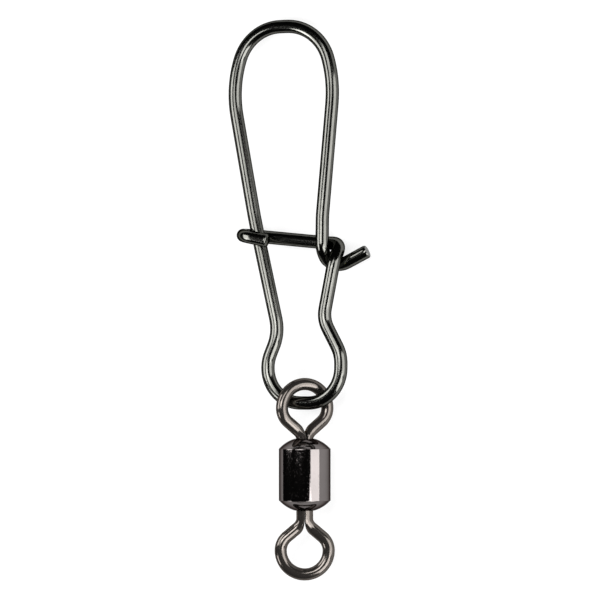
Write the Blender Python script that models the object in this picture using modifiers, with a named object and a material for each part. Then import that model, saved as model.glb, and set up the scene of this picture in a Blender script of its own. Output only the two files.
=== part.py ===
# Snap swivel for fishing: a hooked snap bent from one spring wire, linked to a rolling swivel.
# It lies on a table (z = 0) with the top loop towards +Y and the swivel towards -Y.
import math

import bmesh
import bpy
from mathutils import Matrix, Vector

MM = 0.001

# Driving dimensions in millimetres, angles in degrees.
# The snap is bent in its own plane: x to the right, y towards the top loop, z out of the table.
# Its zero is the middle of the wire at the bottom of the bulb.
SNAP_WIRE = 1.35
CROSSING_GAP = 0.10
LAYER = SNAP_WIRE + CROSSING_GAP

# Corners of the wire's path, each with the radius the wire is bent to there.
BULB_LEFT_X = -4.05
BULB_RIGHT_X = 3.90
BULB_BOTTOM_RADIUS = 3.50
BULB_MIDDLE_Y = 3.65
BULB_LEFT_SHOULDER_Y = 4.25
BULB_RIGHT_SHOULDER_Y = 4.90
BULB_SHOULDER_RADIUS = 3.35
WAIST_LEFT = (-2.90, 7.00)
WAIST_LEFT_RADIUS = 4.40
WAIST_RIGHT = (1.95, 8.40)
WAIST_RIGHT_RADIUS = 2.80
LEFT_LEG_BEND = (-5.65, 18.35)
LEFT_LEG_RADIUS = 60.0
LOOP_LEFT_SIDE = (-8.32, 31.70)
LOOP_LEFT_SIDE_RADIUS = 11.50
LOOP_LEFT_TOP = (-6.50, 37.70)
LOOP_RIGHT_TOP = (1.15, 37.85)
LOOP_TOP_RADIUS = 4.60
LOOP_RIGHT_SIDE = (2.78, 32.20)
LOOP_RIGHT_SIDE_RADIUS = 12.50
RIGHT_LEG_BEND = (1.70, 18.70)
RIGHT_LEG_RADIUS = 8.00
HOOK_TOP = (1.70, 15.50)
HOOK_TOP_RADIUS = 1.50
HOOK_BOTTOM = (1.70, 13.95)
HOOK_BOTTOM_RADIUS = 1.10
HOOK_TURN = (3.35, 13.90)
HOOK_TURN_RADIUS = 1.80
HOOK_TIP = (6.08, 15.22)
HOOK_EXTRA_DEPTH = 0.05
HOOK_TIP_RISE = 0.20
CROSSBAR_LEFT_Y = 16.85
CROSSBAR_RIGHT = (1.85, 16.05)
CROSSBAR_RISE_RADIUS = 1.50
KNUCKLE_TOP = (3.30, 16.00)
KNUCKLE_DEPTH = 1.00
KNUCKLE_RADIUS = 0.95
KNUCKLE_BOTTOM = (3.05, 14.10)
KNUCKLE_BOTTOM_HEIGHT = 0.15
KNUCKLE_BOTTOM_RADIUS = 1.50
RIGHT_FLANK_HEIGHT = 0.10
WRAP_EXTRA = 0.05
WRAP_END = (-3.55, 16.20)

# Swivel: two equal wire eyes in a turned and rolled barrel.
EYE_WIRE = 1.22
EYE_HALF_WIDTH = 2.40
EYE_HALF_HEIGHT = 2.40
# The wire leaves the neck at this angle to the eye's axis and runs straight to the shoulder.
SHOULDER_ANGLE = 50.0
SHOULDER_RADIUS = 1.80
NECK_RADIUS = 1.40
SHANK_RADIUS = 0.84
SHANK_SPLIT = 0.05
HEAD_RADIUS = 1.50
HEAD_LENGTH = 0.80
HEAD_EDGE = 0.15
BARREL_DIAMETER = 5.20
BARREL_LENGTH = 7.17
BARREL_WALL = 0.60
BARREL_END_WALL = 0.75
CAVITY_CORNER = 0.30
DOME_RADIUS = 3.45
HOLE_CLEARANCE = 0.08
HOLE_LIP = 0.12
CORNER_BREAK = 0.06
END_PLAY = 0.93
HEAD_PLAY = 0.06
# From the middle of a ring to the barrel's end, with the eye pulled fully out.
EYE_REACH = 4.00

# How the linked pieces lie.
EYE_CENTRE_BELOW_BULB = 0.50
UPPER_EYE_ROLL = 42.0
LOWER_EYE_ROLL = 23.0

# Mesh fineness.
WIRE_SIDES = 12
BEND_STEP = 9.0
BARREL_SIDES = 48


def clear_scene():
    for old in list(bpy.data.objects):
        bpy.data.objects.remove(old, do_unlink=True)


def make_collection(name):
    collection = bpy.data.collections.new(name)
    bpy.context.scene.collection.children.link(collection)
    return collection


def make_material(name, colour, metallic, roughness):
    material = bpy.data.materials.new(name)
    material.use_nodes = True
    shader = material.node_tree.nodes["Principled BSDF"]
    shader.inputs["Base Color"].default_value = (*colour, 1.0)
    shader.inputs["Metallic"].default_value = metallic
    shader.inputs["Roughness"].default_value = roughness
    return material


def bent_path(corners):
    """Points along a wire that runs straight from corner to corner and is bent round at each."""
    points = [Vector(corners[0][:3])]
    for before, here, after in zip(corners, corners[1:], corners[2:]):
        corner = Vector(here[:3])
        radius = here[3]
        back = (Vector(before[:3]) - corner).normalized()
        onward = (Vector(after[:3]) - corner).normalized()
        inner = back.angle(onward)
        turn = math.pi - inner
        start = corner + back * radius * math.tan(turn / 2)
        centre = corner + (back + onward).normalized() * radius / math.sin(inner / 2)
        out = (start - centre).normalized()
        steps = max(2, math.ceil(math.degrees(turn) / BEND_STEP))
        for step in range(steps + 1):
            angle = turn * step / steps
            point = centre + radius * (math.cos(angle) * out - math.sin(angle) * back)
            if (point - points[-1]).length > 0.01:
                points.append(point)
    points.append(Vector(corners[-1][:3]))
    return points


def snap_corners():
    """The bends of the snap in order, from the wrapped end to the tip of the hook."""
    leg_low = Vector(WAIST_LEFT)
    leg_high = Vector(LEFT_LEG_BEND)
    share = (CROSSBAR_LEFT_Y - leg_low.y) / (leg_high.y - leg_low.y)
    wrap_x = leg_low.lerp(leg_high, share).x - LAYER - WRAP_EXTRA
    hook_depth = -LAYER - HOOK_EXTRA_DEPTH
    return [
        (*WRAP_END, LAYER, 0.0),
        (wrap_x, CROSSBAR_LEFT_Y - CROSSING_GAP / 2, LAYER, LAYER * 0.999),
        (wrap_x, CROSSBAR_LEFT_Y, -LAYER, LAYER * 0.999),
        (*CROSSBAR_RIGHT, -LAYER, CROSSBAR_RISE_RADIUS),
        (*KNUCKLE_TOP, -KNUCKLE_DEPTH, KNUCKLE_RADIUS),
        (*KNUCKLE_BOTTOM, KNUCKLE_BOTTOM_HEIGHT, KNUCKLE_BOTTOM_RADIUS),
        (*WAIST_RIGHT, RIGHT_FLANK_HEIGHT, WAIST_RIGHT_RADIUS),
        (BULB_RIGHT_X, BULB_RIGHT_SHOULDER_Y, RIGHT_FLANK_HEIGHT, BULB_SHOULDER_RADIUS),
        (BULB_RIGHT_X, 0.0, 0.0, BULB_BOTTOM_RADIUS),
        (BULB_LEFT_X, 0.0, 0.0, BULB_BOTTOM_RADIUS),
        (BULB_LEFT_X, BULB_LEFT_SHOULDER_Y, 0.0, BULB_SHOULDER_RADIUS),
        (*WAIST_LEFT, 0.0, WAIST_LEFT_RADIUS),
        (*LEFT_LEG_BEND, 0.0, LEFT_LEG_RADIUS),
        (*LOOP_LEFT_SIDE, 0.0, LOOP_LEFT_SIDE_RADIUS),
        (*LOOP_LEFT_TOP, 0.0, LOOP_TOP_RADIUS),
        (*LOOP_RIGHT_TOP, 0.0, LOOP_TOP_RADIUS),
        (*LOOP_RIGHT_SIDE, 0.0, LOOP_RIGHT_SIDE_RADIUS),
        (*RIGHT_LEG_BEND, 0.0, RIGHT_LEG_RADIUS),
        (*HOOK_TOP, 0.0, HOOK_TOP_RADIUS),
        (*HOOK_BOTTOM, hook_depth, HOOK_BOTTOM_RADIUS),
        (*HOOK_TURN, hook_depth, HOOK_TURN_RADIUS),
        (*HOOK_TIP, hook_depth + HOOK_TIP_RISE, 0.0),
    ]


def mesh_from_object(source, name):
    """A plain mesh of an object with its bevel or modifiers worked out; the object is removed."""
    bpy.context.view_layer.update()
    depsgraph = bpy.context.evaluated_depsgraph_get()
    mesh = bpy.data.meshes.new_from_object(source.evaluated_get(depsgraph))
    bpy.data.objects.remove(source, do_unlink=True)
    work = bmesh.new()
    work.from_mesh(mesh)
    bmesh.ops.remove_doubles(work, verts=work.verts, dist=0.002 * MM)
    bmesh.ops.recalc_face_normals(work, faces=work.faces)
    work.to_mesh(mesh)
    work.free()
    mesh.name = name
    return mesh


def wire_mesh(points, diameter, name, collection):
    """A round wire along a line of points, with flat closed ends."""
    curve = bpy.data.curves.new(name + "_line", "CURVE")
    curve.dimensions = "3D"
    curve.bevel_depth = diameter / 2 * MM
    curve.bevel_resolution = (WIRE_SIDES - 4) // 2
    curve.use_fill_caps = True
    spline = curve.splines.new("POLY")
    spline.points.add(len(points) - 1)
    for target, point in zip(spline.points, points):
        target.co = (*(point * MM), 1.0)
    line = bpy.data.objects.new(name + "_line", curve)
    collection.objects.link(line)
    return mesh_from_object(line, name)


def shank_centre():
    """How far the centre of one pressed half of the shank stands from the eye's axis."""
    return SHANK_SPLIT / 2 + SHANK_RADIUS * 4 / (3 * math.pi)


def eye_centre_line():
    """Half of the eye's centre line, from the split shank to the far side of the ring.

    Each point comes with how much of the shank's pressed section is left there.
    """
    lean = math.radians(SHOULDER_ANGLE)
    neck_x = shank_centre()
    shoulder_x = EYE_HALF_WIDTH - SHOULDER_RADIUS
    straight_end_x = shoulder_x + SHOULDER_RADIUS * math.cos(lean)
    straight_end_y = -SHOULDER_RADIUS * math.sin(lean)
    corner_y = straight_end_y - (straight_end_x - neck_x) / math.tan(lean)
    neck_end_y = corner_y - NECK_RADIUS * math.tan(lean / 2)
    steps = math.ceil(SHOULDER_ANGLE / BEND_STEP)
    line = []
    for step in range(steps + 1):
        share = step / steps
        x = neck_x + NECK_RADIUS * (1.0 - math.cos(lean * share))
        y = neck_end_y + NECK_RADIUS * math.sin(lean * share)
        line.append((Vector((x, y)), (1.0 - share) ** 2 * (1.0 + 2.0 * share)))
    for step in range(steps + 1):
        angle = lean * (step / steps - 1.0)
        x = shoulder_x + SHOULDER_RADIUS * math.cos(angle)
        line.append((Vector((x, SHOULDER_RADIUS * math.sin(angle))), 0.0))
    steps = math.ceil(90.0 / BEND_STEP)
    for step in range(1, steps + 1):
        angle = math.pi / 2 * step / steps
        spot = Vector((EYE_HALF_WIDTH * math.cos(angle), EYE_HALF_HEIGHT * math.sin(angle)))
        line.append((spot, 0.0))
    return line


def half_disc(radius):
    """Section of a pressed wire: half a disc with its flat side next to the split."""
    edge = math.acos(SHANK_SPLIT / 2 / radius)
    outer = WIRE_SIDES * 2 // 3
    inner = WIRE_SIDES - outer
    section = []
    for index in range(outer):
        angle = -edge + 2 * edge * index / (outer - 1)
        section.append(Vector((radius * math.cos(angle), radius * math.sin(angle))))
    top = radius * math.sin(edge)
    for index in range(1, inner + 1):
        height = top - 2 * top * index / (inner + 1)
        section.append(Vector((SHANK_SPLIT / 2, height)))
    return section


def round_section():
    """Section of the round wire, its points in the same order as those of the half disc."""
    section = []
    first = -180.0 + 360.0 / WIRE_SIDES * (WIRE_SIDES / 2 - 3.5)
    for index in range(WIRE_SIDES):
        angle = math.radians(first + 360.0 * index / WIRE_SIDES)
        section.append(Vector((math.cos(angle), math.sin(angle))) * EYE_WIRE / 2)
    return section


def eye_mesh(name):
    """One wire eye in the XY plane: ring centre at zero, shank and split head towards -Y."""
    line = eye_centre_line()
    neck_x = shank_centre()
    head_face = -EYE_REACH - BARREL_END_WALL - HEAD_PLAY
    head_end = head_face - HEAD_LENGTH
    sections = []
    for height, radius in (
        (head_end, HEAD_RADIUS - HEAD_EDGE),
        (head_end + HEAD_EDGE, HEAD_RADIUS),
        (head_face - HEAD_EDGE, HEAD_RADIUS),
        (head_face, HEAD_RADIUS - HEAD_EDGE),
        (head_face, SHANK_RADIUS),
    ):
        sections.append([Vector((p.x, height, p.y)) for p in half_disc(radius)])
    pressed = half_disc(SHANK_RADIUS)
    round_wire = round_section()
    for index, (centre, share) in enumerate(line):
        ahead = line[min(index + 1, len(line) - 1)][0]
        behind = line[max(index - 1, 0)][0]
        along = (ahead - behind).normalized()
        if index == 0:
            along = Vector((0.0, 1.0))
        if index == len(line) - 1:
            along = Vector((-1.0, 0.0))
        outward = Vector((along.y, -along.x))
        ring = []
        for flat, circle in zip(pressed, round_wire):
            across = share * (flat.x - neck_x) + (1.0 - share) * circle.x
            height = share * flat.y + (1.0 - share) * circle.y
            spot = centre + outward * across
            ring.append(Vector((spot.x, spot.y, height)))
        sections.append(ring)
    for section in reversed(sections[:-1]):
        sections.append([Vector((-p.x, p.y, p.z)) for p in section])
    work = bmesh.new()
    rings = [[work.verts.new(point * MM) for point in section] for section in sections]
    for lower, upper in zip(rings, rings[1:]):
        for index in range(WIRE_SIDES):
            after = (index + 1) % WIRE_SIDES
            work.faces.new((lower[index], lower[after], upper[after], upper[index]))
    work.faces.new(list(reversed(rings[0])))
    work.faces.new(rings[-1])
    bmesh.ops.recalc_face_normals(work, faces=work.faces)
    mesh = bpy.data.meshes.new(name)
    work.to_mesh(mesh)
    work.free()
    return mesh


def barrel_mesh(name, collection):
    """The barrel as a turned shell about Z, open at both ends for the shanks."""
    half = BARREL_LENGTH / 2
    radius = BARREL_DIAMETER / 2
    hole = SHANK_RADIUS + HOLE_CLEARANCE
    mouth = hole + HOLE_LIP
    dome_centre = half - math.sqrt(DOME_RADIUS ** 2 - mouth ** 2)
    first = math.asin(mouth / DOME_RADIUS)
    last = math.asin((radius - CORNER_BREAK) / DOME_RADIUS)
    lip_inset = HOLE_LIP * (1.0 - math.sqrt(0.5))
    upper = [(hole, half - HOLE_LIP), (hole + lip_inset, half - lip_inset)]
    dome_steps = 6
    for step in range(dome_steps + 1):
        angle = first + (last - first) * step / dome_steps
        upper.append((DOME_RADIUS * math.sin(angle), dome_centre + DOME_RADIUS * math.cos(angle)))
    upper.append((radius, upper[-1][1] - CORNER_BREAK))
    outside = upper + [(r, -z) for r, z in reversed(upper)]
    cavity = radius - BARREL_WALL
    cavity_end = half - BARREL_END_WALL
    inside = [(hole, -cavity_end), (cavity - CAVITY_CORNER, -cavity_end)]
    inside.append((cavity, -cavity_end + CAVITY_CORNER))
    inside += [(r, -z) for r, z in reversed(inside)]
    profile = outside + inside
    mesh = bpy.data.meshes.new(name + "_profile")
    edges = [(index, (index + 1) % len(profile)) for index in range(len(profile))]
    mesh.from_pydata([(r * MM, 0.0, z * MM) for r, z in profile], edges, [])
    turned = bpy.data.objects.new(name + "_profile", mesh)
    collection.objects.link(turned)
    screw = turned.modifiers.new("turn", "SCREW")
    screw.steps = BARREL_SIDES
    screw.render_steps = BARREL_SIDES
    screw.use_merge_vertices = True
    screw.merge_threshold = 0.001 * MM
    return mesh_from_object(turned, name)


def add_piece(name, mesh, placement, origin, material, collection, sharp_angle):
    """Puts a mesh in place and gives the object its origin, both in millimetres."""
    mesh.transform(Matrix.Translation(-origin * MM) @ placement)
    mesh.materials.clear()
    mesh.materials.append(material)
    mesh.shade_smooth()
    mesh.set_sharp_from_angle(angle=math.radians(sharp_angle))
    piece = bpy.data.objects.new(name, mesh)
    piece.location = origin * MM
    collection.objects.link(piece)
    return piece


def shift(x, y, z):
    return Matrix.Translation(Vector((x, y, z)) * MM)


def turn_about(axis, degrees):
    return Matrix.Rotation(math.radians(degrees), 4, axis)


clear_scene()
parts = make_collection("snap_swivel")
scratch = make_collection("construction")

snap_finish = make_material("black_nickel_snap", (0.05, 0.05, 0.055), 1.0, 0.22)
eye_finish = make_material("black_nickel_eye", (0.06, 0.055, 0.055), 1.0, 0.22)
barrel_finish = make_material("black_nickel_barrel", (0.09, 0.08, 0.08), 1.0, 0.25)

# Heights: the barrel rests on one facet; the snap's bulb sits level with the barrel's axis.
barrel_radius = BARREL_DIAMETER / 2
axis_height = barrel_radius * math.cos(math.pi / BARREL_SIDES)
crossbar_height = SNAP_WIRE / 2
pitch = math.degrees(math.asin((axis_height - LAYER - crossbar_height) / CROSSBAR_LEFT_Y))
snap_place = shift(0.0, 0.0, axis_height) @ turn_about("X", -pitch)

snap_mesh = wire_mesh(bent_path(snap_corners()), SNAP_WIRE, "snap_wire", scratch)
snap = add_piece("snap_wire", snap_mesh, snap_place, Vector((0.0, 0.0, 0.0)), snap_finish,
                 parts, 40.0)

# The upper eye swings sideways round the bulb, about the bulb's middle.
bulb_middle = Vector(((BULB_LEFT_X + BULB_RIGHT_X) / 2, BULB_MIDDLE_Y, 0.0))
swing_origin = snap_place @ (bulb_middle * MM) / MM
upper_ring_y = -EYE_CENTRE_BELOW_BULB
upper_place = shift(0.0, upper_ring_y, axis_height) @ turn_about("Y", UPPER_EYE_ROLL)
upper_eye = add_piece("upper_eye", eye_mesh("upper_eye"), upper_place, swing_origin, eye_finish,
                      parts, 40.0)

# The barrel's near end, with the upper eye pushed in by the end play.
barrel_top = upper_ring_y - EYE_REACH + END_PLAY
barrel_y = barrel_top - BARREL_LENGTH / 2
barrel_origin = Vector((0.0, barrel_y, axis_height))
half_step = 180.0 / BARREL_SIDES
barrel_place = (shift(0.0, barrel_y, axis_height) @ turn_about("X", -90.0)
                @ turn_about("Z", half_step))
barrel = add_piece("barrel", barrel_mesh("barrel", scratch), barrel_place, barrel_origin,
                   barrel_finish, parts, 28.0)

lower_ring_y = barrel_top - BARREL_LENGTH - EYE_REACH
lower_place = (shift(0.0, lower_ring_y, axis_height) @ turn_about("Y", LOWER_EYE_ROLL)
               @ turn_about("Z", 180.0))
lower_origin = Vector((0.0, barrel_top - BARREL_LENGTH, axis_height))
lower_eye = add_piece("lower_eye", eye_mesh("lower_eye"), lower_place, lower_origin, eye_finish,
                      parts, 40.0)

# The frame's zero is the middle of the underside of the whole object's bounding box.
pieces = (snap, upper_eye, barrel, lower_eye)
bpy.context.view_layer.update()
corners = [piece.matrix_world @ vertex.co for piece in pieces for vertex in piece.data.vertices]
low = Vector((min(p.x for p in corners), min(p.y for p in corners), min(p.z for p in corners)))
high = Vector((max(p.x for p in corners), max(p.y for p in corners), max(p.z for p in corners)))
offset = Vector(((low.x + high.x) / 2, (low.y + high.y) / 2, low.z))
for piece in pieces:
    piece.location -= offset
    print(piece.name, [round(value / MM, 4) for value in piece.location])
print("size in mm", [round(value / MM, 3) for value in high - low])
print("pitch of the snap in degrees", round(pitch, 4))
print("swing axis", [round(value, 6) for value in turn_about("X", -pitch).col[2][:3]])
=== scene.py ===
# %% [markdown]
# # A fishing snap swivel
# A snap swivel joins a fishing line to a lure. One spring wire is bent into a hooked snap, and a
# rolling swivel with two wire eyes lets the lure turn without twisting the line. The solids come
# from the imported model. This script dresses them: finer wire, plated metal, light and a camera.

# %% Load the frame
import math
import bmesh
import bpy
from mathutils import Matrix, Vector


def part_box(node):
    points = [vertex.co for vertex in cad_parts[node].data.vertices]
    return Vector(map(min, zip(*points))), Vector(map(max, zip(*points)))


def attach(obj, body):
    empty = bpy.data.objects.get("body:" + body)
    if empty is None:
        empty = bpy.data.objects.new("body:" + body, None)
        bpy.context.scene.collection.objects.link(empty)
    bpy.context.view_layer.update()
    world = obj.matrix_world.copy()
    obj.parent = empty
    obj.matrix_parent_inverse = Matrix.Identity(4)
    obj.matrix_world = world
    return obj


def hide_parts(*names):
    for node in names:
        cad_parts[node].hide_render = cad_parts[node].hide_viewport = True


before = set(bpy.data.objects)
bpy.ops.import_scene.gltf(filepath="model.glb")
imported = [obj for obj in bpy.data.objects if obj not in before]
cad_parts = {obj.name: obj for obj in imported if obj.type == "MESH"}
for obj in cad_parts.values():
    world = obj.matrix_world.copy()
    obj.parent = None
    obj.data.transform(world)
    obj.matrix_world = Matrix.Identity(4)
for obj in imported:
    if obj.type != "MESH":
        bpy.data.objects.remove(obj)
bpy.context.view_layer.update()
MM = 0.001

# %% [markdown]
# Everything below is placed from the solids themselves, in millimetres. The barrel's box gives the
# line that the swivel turns about and both ends of the barrel. The snap was bent in its own flat
# plane, and its places are counted from the bottom of its bulb: X and Z from the swivel's line, and
# Y from the middle of the wire at the snap's lowest point along Y.

# %% Measure the solids
barrel_low, barrel_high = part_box("barrel")
snap_low, snap_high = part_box("snap_wire")
axis_x = (barrel_low.x + barrel_high.x) / 2 / MM
axis_z = (barrel_low.z + barrel_high.z) / 2 / MM
barrel_top = barrel_high.y / MM
barrel_end = barrel_low.y / MM
barrel_radius = (barrel_high.x - barrel_low.x) / 2 / MM
snap_wire = 1.35
snap_zero = Vector((axis_x, snap_low.y / MM + snap_wire / 2, axis_z))
print("swivel axis", round(axis_x, 3), round(axis_z, 3), "barrel radius", round(barrel_radius, 3))
print("snap length in mm", round((snap_high.y - snap_low.y) / MM, 2))

# %% [markdown]
# Colours are written as hex values, as a paint chart or an image editor shows them. Blender works
# in linear light, so one function converts them, with the numbers of the sRGB standard. Another
# small function adds a shader node, fills in its settings and links its inputs, and a third starts
# a material. They keep each finish short enough to read.

# %% Colour and node helpers
def linear(hex_colour):
    values = [int(hex_colour[i:i + 2], 16) / 255 for i in (1, 3, 5)]
    return [v / 12.92 if v <= 0.04045 else ((v + 0.055) / 1.055) ** 2.4 for v in values] + [1.0]


def node(tree, kind, inputs=None, **settings):
    """Adds a node. An input is a value, or a (node, output name) pair to link from."""
    made = tree.nodes.new(kind)
    for key, value in settings.items():
        setattr(made, key, value)
    for key, value in (inputs or {}).items():
        if isinstance(value, tuple) and isinstance(value[0], bpy.types.Node):
            tree.links.new(value[0].outputs[value[1]], made.inputs[key])
        else:
            made.inputs[key].default_value = value
    return made


def new_material(name):
    material = bpy.data.materials.new(name)
    material.use_nodes = True
    shader = material.node_tree.nodes["Principled BSDF"]
    print("material", name)
    return material, material.node_tree, shader

# %% [markdown]
# **Black nickel on drawn spring wire.** The snap and the eyes are steel wire, drawn through a die
# and then plated with black nickel, a dark grey metal. Plating keeps the gloss of the wire, with
# faint lines along its length and a slight mottling where the bath plated thicker. The lines are
# noise stretched along the straight wire, which needs no picture and has no seam. Real die lines
# are about 0.02 mm apart. They are drawn 0.125 mm apart, just over one pixel, so that they show.
#
# The two platings differ a little. The snap's is all metal, almost neutral, and darkens where the
# wire turns away, which the specular tint sets. The eyes' is warmer, and a small part of it
# scatters light, so it never turns quite black.

# %% Black nickel on wire
die_line_width, die_line_length = 0.125, 2.857
mottle_width, grain_width = 1.111, 0.1111
noise_low, noise_high = 0.3, 0.7  # most of the noise lies between these
gloss_spread = 0.3


def black_nickel_wire(name, dark, light, edge, roughness, metallic):
    """dark, light: the two tones of the mottling. edge: the tint at a glancing angle."""
    material, tree, shader = new_material(name)
    shader.inputs["Metallic"].default_value = metallic
    shader.inputs["Specular IOR Level"].default_value = 0.0
    shader.inputs["Specular Tint"].default_value = edge
    place = node(tree, "ShaderNodeAttribute", attribute_name="stock")
    stretch = (1 / die_line_width, 1 / die_line_width, 1 / die_line_length)
    along = node(tree, "ShaderNodeMapping", {"Vector": (place, "Vector"), "Scale": stretch})
    lines = node(tree, "ShaderNodeTexNoise",
                 {"Vector": (along, "Vector"), "Scale": 1.0, "Detail": 2.0})
    mottle = node(tree, "ShaderNodeTexNoise",
                  {"Vector": (place, "Vector"), "Scale": 1 / mottle_width, "Detail": 3.0})
    grain = node(tree, "ShaderNodeTexNoise",
                 {"Vector": (place, "Vector"), "Scale": 1 / grain_width, "Detail": 2.0})
    tone = node(tree, "ShaderNodeMix", {"Factor": (mottle, "Fac"), "A": dark, "B": light},
                data_type="RGBA")
    tree.links.new(tone.outputs["Result"], shader.inputs["Base Color"])
    gloss = node(tree, "ShaderNodeMapRange",
                 {"Value": (grain, "Fac"), "From Min": noise_low, "From Max": noise_high,
                  "To Min": roughness * (1 - gloss_spread),
                  "To Max": roughness * (1 + gloss_spread)})
    tree.links.new(gloss.outputs["Result"], shader.inputs["Roughness"])
    height = node(tree, "ShaderNodeMath", {0: (lines, "Fac"), 1: (grain, "Fac")}, operation="ADD")
    bump = node(tree, "ShaderNodeBump",
                {"Height": (height, "Value"), "Strength": 0.12, "Distance": 0.02 * MM})
    tree.links.new(bump.outputs["Normal"], shader.inputs["Normal"])
    return material


snap_finish = black_nickel_wire("black_nickel_snap_wire", linear("#52524f"), linear("#61615d"),
                                linear("#303030"), roughness=0.14, metallic=1.0)
eye_finish = black_nickel_wire("black_nickel_eye_wire", linear("#544f4b"), linear("#66615d"),
                               linear("#8c8885"), roughness=0.14, metallic=0.86)

# %% [markdown]
# **Cut steel.** The hook's end is cropped after plating, so its face is bare spring steel. Air has
# tarnished it to about the tone of the plating, and the shear leaves it rougher, so it shows as a
# plain grey disc without stripes. Noise with a grain of 0.11 mm makes the torn surface. The real
# tears are finer, and are drawn that coarse so that they show.

# %% Cut steel
tear_width = 0.111
cut_steel, tree, shader = new_material("cropped_spring_steel")
shader.inputs["Metallic"].default_value = 1.0
shader.inputs["Base Color"].default_value = linear("#5c5c5a")
tear = node(tree, "ShaderNodeTexNoise", {"Scale": 1 / (tear_width * MM), "Detail": 3.0})
rough = node(tree, "ShaderNodeMapRange", {"Value": (tear, "Fac"), "To Min": 0.25, "To Max": 0.5})
tree.links.new(rough.outputs["Result"], shader.inputs["Roughness"])
bump = node(tree, "ShaderNodeBump",
            {"Height": (tear, "Fac"), "Strength": 0.3, "Distance": 0.02 * MM})
tree.links.new(bump.outputs["Normal"], shader.inputs["Normal"])

# %% [markdown]
# **The bends of the snap.** A wire former works from a list of corners and bend radii: the wire
# runs straight to a corner and is bent round it. The same list made the solids. A curve object
# could be drawn by hand instead, but then the wire would drift away from its solid.
#
# Where wires cross, one lies a layer in front of the flat plane or a layer behind it, which is one
# wire and a small gap. The wrapped end starts in front of the left leg, turns round it in two
# quarter bends, and goes on behind both legs as the crossbar.

# %% Bend list
crossing_gap = 0.10
layer = snap_wire + crossing_gap
left_leg_x, wrap_room = -5.29, 0.05
wrap_x = left_leg_x - layer - wrap_room
just_under = 0.999  # keeps a hair of straight wire between the two quarter bends
wrap_radius = layer * just_under
crossbar_y = 16.85
hook_extra_depth, hook_tip_rise = 0.05, 0.20
hook_z = -layer - hook_extra_depth
snap_bends = [
    # x, y and z of the corner, then the radius of the bend, all in mm
    (-3.55, 16.20, layer, 0.0),
    (wrap_x, 16.80, layer, wrap_radius),
    (wrap_x, crossbar_y, -layer, wrap_radius),
    (1.85, 16.05, -layer, 1.50),
    (3.30, 16.00, -1.00, 0.95),
    (3.05, 14.10, 0.15, 1.50),
    (1.95, 8.40, 0.10, 2.80),
    (3.90, 4.90, 0.10, 3.35),
    (3.90, 0.00, 0.00, 3.50),
    (-4.05, 0.00, 0.00, 3.50),
    (-4.05, 4.25, 0.00, 3.35),
    (-2.90, 7.00, 0.00, 4.40),
    (-5.65, 18.35, 0.00, 60.0),
    (-8.32, 31.70, 0.00, 11.50),
    (-6.50, 37.70, 0.00, 4.60),
    (1.15, 37.85, 0.00, 4.60),
    (2.78, 32.20, 0.00, 12.50),
    (1.70, 18.70, 0.00, 8.00),
    (1.70, 15.50, 0.00, 1.50),
    (1.70, 13.95, hook_z, 1.10),
    (3.35, 13.90, hook_z, 1.80),
    (6.08, 15.22, hook_z + hook_tip_rise, 0.0),
]
print("bends in the snap", len(snap_bends) - 2)

# %% [markdown]
# Each bend is an arc that touches the straight wire before and after its corner. It is cut into
# steps of 3 degrees, where the solid has 9.

# %% From corners to a path
fewest_steps = 4


def bent_path(bends, step_angle=3.0):
    points = [Vector(bends[0][:3])]
    for before, here, after in zip(bends, bends[1:], bends[2:]):
        corner = Vector(here[:3])
        radius = here[3]
        back = (Vector(before[:3]) - corner).normalized()
        onward = (Vector(after[:3]) - corner).normalized()
        inner = back.angle(onward)
        turn = math.pi - inner
        start = corner + back * radius * math.tan(turn / 2)
        centre = corner + (back + onward).normalized() * radius / math.sin(inner / 2)
        out = (start - centre).normalized()
        steps = max(fewest_steps, math.ceil(math.degrees(turn) / step_angle))
        for step in range(steps + 1):
            angle = turn * step / steps
            points.append(centre + radius * (math.cos(angle) * out - math.sin(angle) * back))
    points.append(Vector(bends[-1][:3]))
    return points


snap_corners = bent_path(snap_bends)
print("points on the bent path", len(snap_corners))

# %% [markdown]
# Springy wire doesn't start a bend at once: it eases in and out. A short moving average does the
# same to the path. Even steps along the wire make that average simple and the faces regular.

# %% Even steps and eased bends
def even_steps(points, step):
    marks = [0.0]
    for a, b in zip(points, points[1:]):
        marks.append(marks[-1] + (b - a).length)
    count = round(marks[-1] / step)
    result = []
    index = 0
    for number in range(count + 1):
        target = marks[-1] * number / count
        while index < len(points) - 2 and marks[index + 1] < target:
            index += 1
        span = max(marks[index + 1] - marks[index], 1e-9)
        result.append(points[index].lerp(points[index + 1], (target - marks[index]) / span))
    return result


def eased(points, reach):
    result = []
    last = len(points) - 1
    for index in range(len(points)):
        near = min(reach, index, last - index)
        group = points[index - near:index + near + 1]
        result.append(sum(group, Vector()) / len(group))
    return result


path_step, ease_reach = 0.10, 3
snap_line = eased(even_steps(snap_corners, path_step), ease_reach)
snap_length = sum((b - a).length for a, b in zip(snap_line, snap_line[1:]))
print("wire in the snap, mm", round(snap_length, 1), "points", len(snap_line))

# %% [markdown]
# **The snap wire.** A circle is carried along the path without letting it twist, which is how wire
# really bends. With every ring goes its stock: where its points were on the straight wire, before
# bending. Marks left by the drawing die run along that straight wire, so a pattern that reads the
# stock follows every bend, with no seam.

# %% Carry a circle along the path
snap_sides = 28


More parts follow.
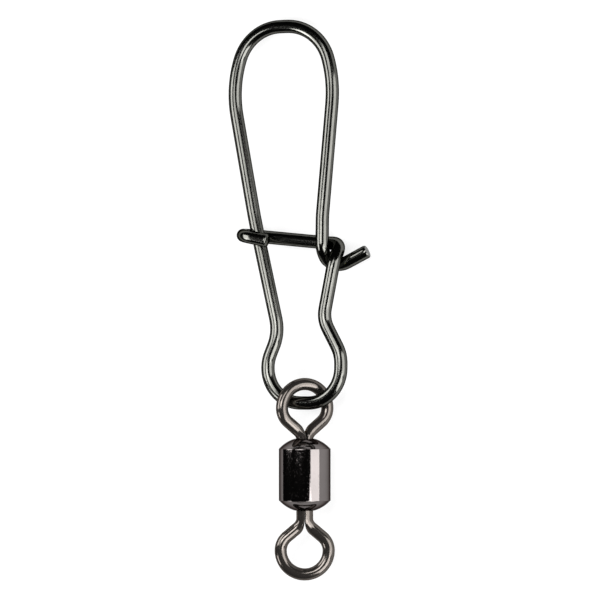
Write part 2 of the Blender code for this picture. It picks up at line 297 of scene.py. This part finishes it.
def carried_circle(points, radius, sides):
    rings = []
    stock = []
    side = Vector((0.0, 0.0, 1.0))
    along = 0.0
    for index, point in enumerate(points):
        ahead = points[min(index + 1, len(points) - 1)]
        behind = points[max(index - 1, 0)]
        tangent = (ahead - behind).normalized()
        side = (side - tangent * side.dot(tangent)).normalized()
        across = tangent.cross(side)
        if index:
            along += (point - points[index - 1]).length
        ring = []
        straight = []
        for number in range(sides):
            angle = 2 * math.pi * number / sides
            offset = math.cos(angle) * side + math.sin(angle) * across
            ring.append(point + offset * radius)
            straight.append(Vector((math.cos(angle) * radius, math.sin(angle) * radius, along)))
        rings.append(ring)
        stock.append(straight)
    return rings, stock


snap_rings, snap_stock = carried_circle(snap_line, snap_wire / 2, snap_sides)
print("rings round the snap's wire", len(snap_rings), "of", snap_sides, "points")

# %% [markdown]
# The two cut ends differ. The wrapped end was tumbled round before plating. The hook's end is
# cropped with a slight slope, and the shear rolls its edge over a little. The last rings are
# shrunk for the rolled edge and sheared for the slope, so the wire stays one skin.

# %% Crop the two ends
sloped_rings, rolled_rings = 6, 2


def crop_end(rings, at_start, slope, roll):
    """Slopes a wire's cut face, and shrinks its rim to the share roll of the wire."""
    order = list(range(len(rings))) if at_start else list(range(len(rings) - 1, -1, -1))
    near = [rings[index] for index in order[:sloped_rings + 1]]
    centres = [sum(ring, Vector()) / len(ring) for ring in near]
    outward = (centres[0] - centres[-1]).normalized()
    for number, index in enumerate(order[:sloped_rings]):
        left = 1.0 - number / sloped_rings
        size = 1.0 - (1.0 - roll) * max(0.0, 1.0 - number / rolled_rings) ** 2
        for corner, point in enumerate(rings[index]):
            offset = point - centres[number]
            lean_out = outward * offset.z * slope * left
            rings[index][corner] = centres[number] + offset * size + lean_out


crop_end(snap_rings, at_start=True, slope=0.0, roll=0.55)
crop_end(snap_rings, at_start=False, slope=0.15, roll=0.90)
print("last rings sloped", sloped_rings, "and rolled", rolled_rings)

# %% [markdown]
# A wire is a long skin over many rings. The helper below joins rings of points into one closed
# surface, and stores the stock at every point. Both kinds of wire here are made with it. A curve
# with a round bevel would be shorter to write, but it has no rolled ends and no stock.
#
# The snap lies with its crossbar on the table and its bulb raised to the swivel's middle, so the
# finished wire is tipped by the same small angle as the solid.

# %% Skin the snap wire
sharp_angle = math.radians(40)


def skin(name, rings, stock, materials, end_slots=(0, 0)):
    """rings: lists of points in mm, in order. stock: the same points on the straight wire."""
    work = bmesh.new()
    stock_layer = work.verts.layers.float_vector.new("stock")
    rows = []
    for ring, straight in zip(rings, stock):
        row = []
        for point, place in zip(ring, straight):
            vertex = work.verts.new(point * MM)
            vertex[stock_layer] = place
            row.append(vertex)
        rows.append(row)
    count = len(rows[0])
    for lower, upper in zip(rows, rows[1:]):
        for index in range(count):
            after = (index + 1) % count
            work.faces.new((lower[index], lower[after], upper[after], upper[index]))
    for end, slot in zip((list(reversed(rows[0])), rows[-1]), end_slots):
        cap = work.faces.new(end)
        cap.material_index = slot
    bmesh.ops.recalc_face_normals(work, faces=work.faces)
    mesh = bpy.data.meshes.new(name)
    work.to_mesh(mesh)
    work.free()
    mesh.shade_smooth()
    mesh.set_sharp_from_angle(angle=sharp_angle)
    for material in materials:
        mesh.materials.append(material)
    piece = bpy.data.objects.new(name, mesh)
    bpy.context.scene.collection.objects.link(piece)
    print(name, "faces", len(mesh.polygons))
    return piece


crossbar_height = layer + snap_wire / 2
pitch = math.asin((axis_z - crossbar_height) / crossbar_y)
tip = Matrix.Rotation(-pitch, 4, "X")
snap_rings = [[snap_zero + tip @ point for point in ring] for ring in snap_rings]
snap = skin("snap_spring_wire", snap_rings, snap_stock, [snap_finish, cut_steel], (0, 1))
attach(snap, "snap")
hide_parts("snap_wire")

# %% [markdown]
# **The eyes.** Each eye is one wire bent to a ring. Its two ends run together through the barrel's
# hole, pressed half round so that they make one round shank, and are headed inside. The section
# therefore changes along the wire, from a half disc to a circle. Every section has the same number
# of points in the same order, so the skin can run straight from one to the next. Pressing leaves
# the half disc's two corners a little blunt, and together they make the dark groove down the shank.
#
# The solids' two half shanks stand 0.05 mm apart. Here they all but meet, as the real ones do, on
# the same centre lines.

# %% Sections of the eye wire
eye_wire, eye_sides = 1.22, 32
shank_radius, shank_split = 0.84, 0.05
seam, blunt = 0.004, 0.09
half_disc_middle = shank_radius * 4 / (3 * math.pi)
neck_x = shank_split / 2 + half_disc_middle
arc_points = eye_sides * 2 // 3


def half_disc(radius):
    edge = math.acos(blunt / radius)
    flat_points = eye_sides - arc_points
    top = radius - blunt
    section = []
    for index in range(arc_points):
        angle = -edge + 2 * edge * index / (arc_points - 1)
        section.append(Vector((radius * math.cos(angle), radius * math.sin(angle))))
    for index in range(flat_points):
        section.append(Vector((seam / 2, top - 2 * top * index / (flat_points - 1))))
    return section


def full_circle():
    first = -180.0 * (arc_points - 1) / eye_sides
    angles = [math.radians(first + 360.0 * index / eye_sides) for index in range(eye_sides)]
    return [Vector((math.cos(a), math.sin(a))) * eye_wire / 2 for a in angles]


print("points in an eye's section", len(half_disc(shank_radius)), len(full_circle()))

# %% [markdown]
# Half an eye is drawn and the other half mirrored. From the shank the wire bends out through the
# neck, runs straight, bends back round the shoulder and closes in an oval. Beside each point stands
# the share of the half disc left there, which fades over the neck's bend.

# %% Centre line of half an eye
ring_half_width, ring_half_height = 2.40, 2.40
shoulder_angle = math.radians(50.0)
shoulder_radius, neck_radius = 1.80, 1.40
bend_steps, straight_steps, oval_steps = 18, 7, 30


def half_eye_line():
    shoulder_x = ring_half_width - shoulder_radius
    straight_x = shoulder_x + shoulder_radius * math.cos(shoulder_angle)
    straight_y = -shoulder_radius * math.sin(shoulder_angle)
    corner_y = straight_y - (straight_x - neck_x) / math.tan(shoulder_angle)
    neck_y = corner_y - neck_radius * math.tan(shoulder_angle / 2)
    line = []
    for step in range(bend_steps + 1):
        share = step / bend_steps
        angle = shoulder_angle * share
        spot = Vector((neck_x + neck_radius * (1.0 - math.cos(angle)),
                       neck_y + neck_radius * math.sin(angle)))
        line.append((spot, (1.0 - share) ** 2 * (1.0 + 2.0 * share)))
    bend_end = line[-1][0]
    straight_end = Vector((straight_x, straight_y))
    for step in range(1, straight_steps):
        line.append((bend_end.lerp(straight_end, step / straight_steps), 0.0))
    for step in range(bend_steps + 1):
        angle = shoulder_angle * (step / bend_steps - 1.0)
        spot = Vector((shoulder_x + shoulder_radius * math.cos(angle),
                       shoulder_radius * math.sin(angle)))
        line.append((spot, 0.0))
    for step in range(1, oval_steps + 1):
        angle = math.pi / 2 * step / oval_steps
        spot = Vector((ring_half_width * math.cos(angle), ring_half_height * math.sin(angle)))
        line.append((spot, 0.0))
    return line


print("points along half an eye", len(half_eye_line()))

# %% [markdown]
# The eye is built lying flat with the middle of its ring at zero. The shank ends in an upset head,
# which stands just clear of the inside of the barrel's end wall when the eye is pulled out.

# %% Rings of an eye
eye_reach = 4.00
end_wall, head_play = 0.75, 0.06
head_radius, head_length, head_edge = 1.50, 0.80, 0.15
head_root = 0.03
straight_up, across_top = Vector((0.0, 1.0)), Vector((-1.0, 0.0))


def eye_rings():
    head_face = -eye_reach - end_wall - head_play
    head_end = head_face - head_length
    rings = []
    for height, radius in ((head_end, head_radius - head_edge),
                           (head_end + head_edge, head_radius),
                           (head_face - head_edge, head_radius),
                           (head_face, head_radius - head_edge),
                           (head_face, shank_radius + head_root),
                           (head_face + head_root, shank_radius)):
        rings.append([Vector((p.x, height, p.y)) for p in half_disc(radius)])
    pressed = half_disc(shank_radius)
    round_wire = full_circle()
    line = half_eye_line()
    for index, (centre, share) in enumerate(line):
        ahead = line[min(index + 1, len(line) - 1)][0]
        behind = line[max(index - 1, 0)][0]
        along = (ahead - behind).normalized()
        if index == 0:
            along = straight_up
        if index == len(line) - 1:
            along = across_top
        outward = Vector((along.y, -along.x))
        ring = []
        for flat, circle in zip(pressed, round_wire):
            across = share * (flat.x - neck_x) + (1.0 - share) * circle.x
            height = share * flat.y + (1.0 - share) * circle.y
            spot = centre + outward * across
            ring.append(Vector((spot.x, spot.y, height)))
        rings.append(ring)
    rings += [[Vector((-p.x, p.y, p.z)) for p in ring] for ring in reversed(rings[:-1])]
    return rings


print("rings round an eye's wire", len(eye_rings()))

# %% [markdown]
# The same eye is placed twice. The upper one is pushed in by its play, with its ring rolled so that
# it passes round the wire of the bulb. The lower one is turned end for end and pulled out. Their
# stock is a straight wire of about their own width.

# %% Upper and lower eye
end_play = 0.93
upper_roll, lower_roll = math.radians(42.0), math.radians(23.0)
stock_radius = 0.6


def make_eye(name, place):
    rings = eye_rings()
    stock = []
    along = 0.0
    centres = [sum(ring, Vector()) / len(ring) for ring in rings]
    turns = [2 * math.pi * number / eye_sides for number in range(eye_sides)]
    for index in range(len(rings)):
        if index:
            along += (centres[index] - centres[index - 1]).length
        stock.append([Vector((math.cos(t) * stock_radius, math.sin(t) * stock_radius, along))
                      for t in turns])
    placed = [[place @ point for point in ring] for ring in rings]
    return skin(name, placed, stock, [eye_finish])


upper_place = (Matrix.Translation((axis_x, barrel_top + eye_reach - end_play, axis_z))
               @ Matrix.Rotation(upper_roll, 4, "Y"))
upper_eye = make_eye("upper_wire_eye", upper_place)
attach(upper_eye, "swivel_eye")
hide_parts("upper_eye")
lower_place = (Matrix.Translation((axis_x, barrel_end - eye_reach, axis_z))
               @ Matrix.Rotation(lower_roll, 4, "Y")
               @ Matrix.Rotation(math.pi, 4, "Z"))
lower_eye = make_eye("lower_wire_eye", lower_place)
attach(lower_eye, "line_eye")
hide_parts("lower_eye")

# %% [markdown]
# **Black nickel on turned brass.** The barrel is turned from brass bar, hollow, and its ends are
# rolled in over the heads of the eyes. The plating copies the turned surface, so it is close to a
# mirror, with very fine rings round it, a few specks of dust under the plating and a warm tinge.
# The rings are noise squeezed along the barrel's axis. Real ones are about 0.05 mm apart, and are
# drawn 0.2 mm apart, two pixels, so that they show. The specks are drawn as wide for that reason.
#
# Seen at a glancing angle, black nickel mirrors less than a bare metal would. A grey specular tint
# says so, and the barrel keeps its dark outline on a white table.

# %% Black nickel on brass
turning_ring_pitch, ring_change = 0.2, 16.67
cloud_width, speck_width = 2.857, 0.1923
barrel_finish, tree, shader = new_material("black_nickel_turned_brass")
shader.inputs["Metallic"].default_value = 1.0
shader.inputs["Specular Tint"].default_value = linear("#7c7c7c")
place = node(tree, "ShaderNodeTexCoord")
squeeze = [1 / (size * MM) for size in (ring_change, ring_change, turning_ring_pitch)]
rings_map = node(tree, "ShaderNodeMapping", {"Vector": (place, "Object"), "Scale": squeeze})
turning = node(tree, "ShaderNodeTexNoise",
               {"Vector": (rings_map, "Vector"), "Scale": 1.0, "Detail": 2.0})
cloud = node(tree, "ShaderNodeTexNoise",
             {"Vector": (place, "Object"), "Scale": 1 / (cloud_width * MM), "Detail": 3.0})
specks = node(tree, "ShaderNodeTexNoise",
              {"Vector": (place, "Object"), "Scale": 1 / (speck_width * MM), "Detail": 1.0})
tone = node(tree, "ShaderNodeMix",
            {"Factor": (cloud, "Fac"), "A": linear("#696564"), "B": linear("#787271")},
            data_type="RGBA")
tree.links.new(tone.outputs["Result"], shader.inputs["Base Color"])
dull = node(tree, "ShaderNodeMapRange",
            {"Value": (specks, "Fac"), "From Min": 0.60, "From Max": 0.78,
             "To Min": 0.07, "To Max": 0.2})
tree.links.new(dull.outputs["Result"], shader.inputs["Roughness"])
relief = node(tree, "ShaderNodeMath", {0: (turning, "Fac"), 1: (specks, "Fac")}, operation="ADD")
bump = node(tree, "ShaderNodeBump",
            {"Height": (relief, "Value"), "Strength": 0.05, "Distance": 0.01 * MM})
tree.links.new(bump.outputs["Normal"], shader.inputs["Normal"])

# %% [markdown]
# **The barrel.** A turned part is a profile spun round an axis, which is what the Screw modifier
# does. The profile has the domed ends, a crisp shoulder with a hair of rounding to catch the
# light, and the lip of each end hole. Inside is the cavity that holds the two heads.

# %% Barrel profile
half_length = (barrel_top - barrel_end) / 2
hole_clearance = 0.08
hole = shank_radius + hole_clearance
lip, lip_steps = 0.12, 4
dome, dome_steps = 3.45, 16
shoulder_depth, shoulder_steps = 0.07, 4
shoulder_bulge = shoulder_depth * 0.6
shoulder_start = 0.45  # the dome already leans this share of a quarter turn
dome_middle = half_length - math.sqrt(dome ** 2 - (hole + lip) ** 2)
dome_first = math.asin((hole + lip) / dome)
dome_last = math.asin((barrel_radius - shoulder_bulge) / dome)
upper = []
for step in range(lip_steps + 1):
    angle = math.pi / 2 * step / lip_steps
    upper.append((hole + lip * (1 - math.cos(angle)), half_length - lip * (1 - math.sin(angle))))
for step in range(1, dome_steps + 1):
    angle = dome_first + (dome_last - dome_first) * step / dome_steps
    upper.append((dome * math.sin(angle), dome_middle + dome * math.cos(angle)))
shoulder_z = upper[-1][1]
for step in range(1, shoulder_steps + 1):
    share = step / shoulder_steps
    angle = math.pi / 2 * (shoulder_start + (1 - shoulder_start) * share)
    upper.append((barrel_radius - shoulder_bulge * (1 - math.sin(angle)),
                  shoulder_z - shoulder_depth * share))
print("barrel profile, upper half", len(upper), "points, shoulder at", round(shoulder_z, 2))

# %% Barrel cavity
side_wall, cavity_corner = 0.60, 0.30
cavity = barrel_radius - side_wall
floor_z = -half_length + end_wall
inside = [(hole, floor_z), (cavity - cavity_corner, floor_z), (cavity, floor_z + cavity_corner)]
inside += [(r, -z) for r, z in reversed(inside)]
profile = upper + [(r, -z) for r, z in reversed(upper)] + inside
print("whole profile", len(profile), "points, cavity radius", round(cavity, 2))

# %% Spin the barrel
spin_steps = 160
merge_distance = 0.001 * MM
barrel_mesh = bpy.data.meshes.new("turned_barrel")
outline = [(index, (index + 1) % len(profile)) for index in range(len(profile))]
barrel_mesh.from_pydata([(r * MM, 0.0, z * MM) for r, z in profile], outline, [])
barrel = bpy.data.objects.new("turned_barrel", barrel_mesh)
bpy.context.scene.collection.objects.link(barrel)
spin = barrel.modifiers.new("spin", "SCREW")
spin.steps = spin_steps
spin.render_steps = spin_steps
spin.use_merge_vertices = True
spin.merge_threshold = merge_distance
spin.use_normal_calculate = True
barrel.location = Vector((axis_x, (barrel_top + barrel_end) / 2, axis_z)) * MM
barrel.rotation_euler = (math.radians(-90.0), 0.0, 0.0)
barrel_mesh.materials.append(barrel_finish)
bpy.context.view_layer.update()
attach(barrel, "swivel_barrel")
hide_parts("barrel")
print("barrel spun in", spin_steps, "steps")

# %% [markdown]
# **The camera** looks down on the table, leaning to the hook's side by the angle at which both the
# snap and the eye linked in it are seen as in the photograph. It is far away with a long lens, so
# the wires keep their thickness over the whole object. One photo pixel is 0.1 mm.

# %% Camera
lean = math.radians(23.0)
towards = Vector((math.sin(lean), 0.0, math.cos(lean)))
right = Vector((math.cos(lean), 0.0, -math.sin(lean)))
up = Vector((0.0, 1.0, 0.0))
frame_width, distance, sensor = 60.0, 500.0, 36.0
aim_right, aim_up = -0.47, 10.30
target = snap_zero + right * aim_right + up * aim_up
camera_data = bpy.data.cameras.new("camera")
camera_data.sensor_width = sensor
camera_data.lens = sensor * distance / frame_width
camera_data.clip_start = 0.01
camera_data.clip_end = 10.0
camera = bpy.data.objects.new("camera", camera_data)
bpy.context.scene.collection.objects.link(camera)
turn = Matrix((right, up, towards)).transposed()
camera.matrix_world = Matrix.Translation((target + towards * distance) * MM) @ turn.to_4x4()
bpy.context.scene.camera = camera
print("camera", distance, "mm away, lens", round(camera_data.lens), "mm")

# %% [markdown]
# **Table and background.** The photograph's ground is pure white with hardly any shadow. The table
# is a plain matt sheet. Most of its white is a glow that only the camera and mirrored rays see, so
# it is paper white without adding light to the metal, and the lamps still leave a faint shadow.

# %% Table
table_reach, paper_glow = 3.0, 0.78
ground = bpy.data.meshes.new("white_table")
corners = [(x * table_reach, y * table_reach, 0.0) for x, y in ((-1, -1), (1, -1), (1, 1), (-1, 1))]
ground.from_pydata(corners, [], [(0, 1, 2, 3)])
table = bpy.data.objects.new("white_table", ground)
bpy.context.scene.collection.objects.link(table)
paper, tree, shader = new_material("matt_white_paper")
shader.inputs["Base Color"].default_value = linear("#8b8b8b")
shader.inputs["Roughness"].default_value = 0.9
shader.inputs["Specular IOR Level"].default_value = 0.0
path = node(tree, "ShaderNodeLightPath")
seen = node(tree, "ShaderNodeMath", {0: (path, "Is Camera Ray"), 1: (path, "Is Glossy Ray")},
            operation="MAXIMUM")
glow = node(tree, "ShaderNodeMath", {0: (seen, "Value"), 1: paper_glow}, operation="MULTIPLY")
shader.inputs["Emission Color"].default_value = linear("#ffffff")
tree.links.new(glow.outputs["Value"], shader.inputs["Emission Strength"])
ground.materials.append(paper)
print("table", 2 * table_reach, "m wide")

# %% [markdown]
# **Studio light.** Polished metal shows its surroundings, so the light is six soft panels in a dim
# room. Each bright stripe on the barrel and the wires is the picture of one panel. A round bar
# mirrors only what lies across its own axis. So the barrel is dark on its left because no panel on
# that side is level with it, and the crossbar is dark because no panel lies across it.

# %% Light
def panel(name, aim_y, azimuth, polar, far, size, brightness):
    """A soft panel that faces a spot aim_y mm up the object from the bottom of the bulb.

    polar is its angle from the camera's line of sight, azimuth the way it then lies, as seen in
    the picture: 0 to the right, 90 up. size is in mm, first along polar, then across it. A panel
    of brightness 1 would look as bright as white paper.
    """
    a = math.radians(azimuth)
    p = math.radians(polar)
    sideways = right * math.cos(a) + up * math.sin(a)
    back = sideways * math.sin(p) + towards * math.cos(p)
    outwards = sideways * math.cos(p) - towards * math.sin(p)
    light = bpy.data.lights.new(name, "AREA")
    light.shape = "RECTANGLE"
    light.size, light.size_y = size[0] * MM, size[1] * MM
    light.energy = brightness * math.pi * light.size * light.size_y
    lamp = bpy.data.objects.new(name, light)
    bpy.context.scene.collection.objects.link(lamp)
    turn = Matrix((outwards, back.cross(outwards), back)).transposed()
    place = snap_zero + up * aim_y + back * far
    lamp.matrix_world = Matrix.Translation(place * MM) @ turn.to_4x4()
    print(name, "at", [round(v) for v in place], "mm,", round(light.energy, 2), "W")


panels = [
    # name, aim_y, azimuth, polar, far, size, brightness
    ("right_panel", 0.0, 317.0, 41.0, 260.0, (196.0, 130.0), 6.6),
    ("upper_right_panel", 0.0, 5.0, 47.0, 260.0, (200.0, 170.0), 4.7),
    ("overhead_panel", 0.0, 128.0, 25.0, 300.0, (100.0, 180.0), 4.5),
    ("left_panel", 20.0, 180.0, 72.0, 60.0, (30.0, 46.0), 6.0),
    ("low_left_panel", 0.0, 204.0, 74.0, 600.0, (212.0, 185.0), 6.0),
    ("near_overhead_panel", 14.0, 180.0, 26.0, 100.0, (58.0, 25.0), 6.0),
]
for row in panels:
    panel(*row)

# %% Dim room
room_strength = 0.01
room = bpy.data.worlds.new("dim_room")
room.use_nodes = True
air = room.node_tree.nodes["Background"]
air.inputs["Color"].default_value = linear("#ffffff")
air.inputs["Strength"].default_value = room_strength
bpy.context.scene.world = room
bpy.context.scene.view_settings.view_transform = "Standard"
print("room light", room_strength)
